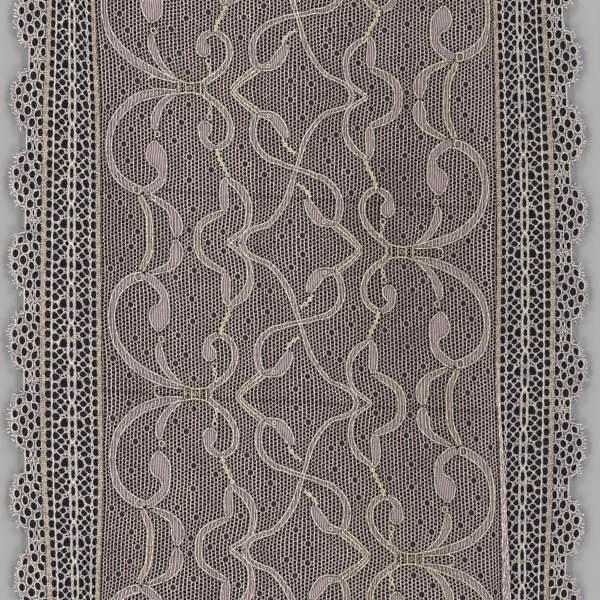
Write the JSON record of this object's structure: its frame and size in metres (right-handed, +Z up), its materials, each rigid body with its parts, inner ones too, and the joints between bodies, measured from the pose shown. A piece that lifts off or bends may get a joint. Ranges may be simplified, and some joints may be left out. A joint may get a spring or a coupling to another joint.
{
  "type": "stretch lace trim",
  "caption": "Cut length of flat lace trim: a fine net panel with raised scrolling ribbons, sewn between scalloped openwork edgings with heading braids.",
  "frame": {"origin": "on the underside, at the middle of the cut length and width", "axes": "+Y along the trim, +X across it, +Z up out of its face"},
  "size_m": [0.1511, 0.16, 0.0015],
  "materials": {
    "net_yarn": "matte",
    "edging_yarn": "matte",
    "cord_yarn": "satin",
    "braid_yarn": "matte"
  },
  "bodies": {
    "root": {"net_panel": "net_yarn", "left_edging": "edging_yarn", "right_edging": "edging_yarn"}
  },
  "joints": []
}
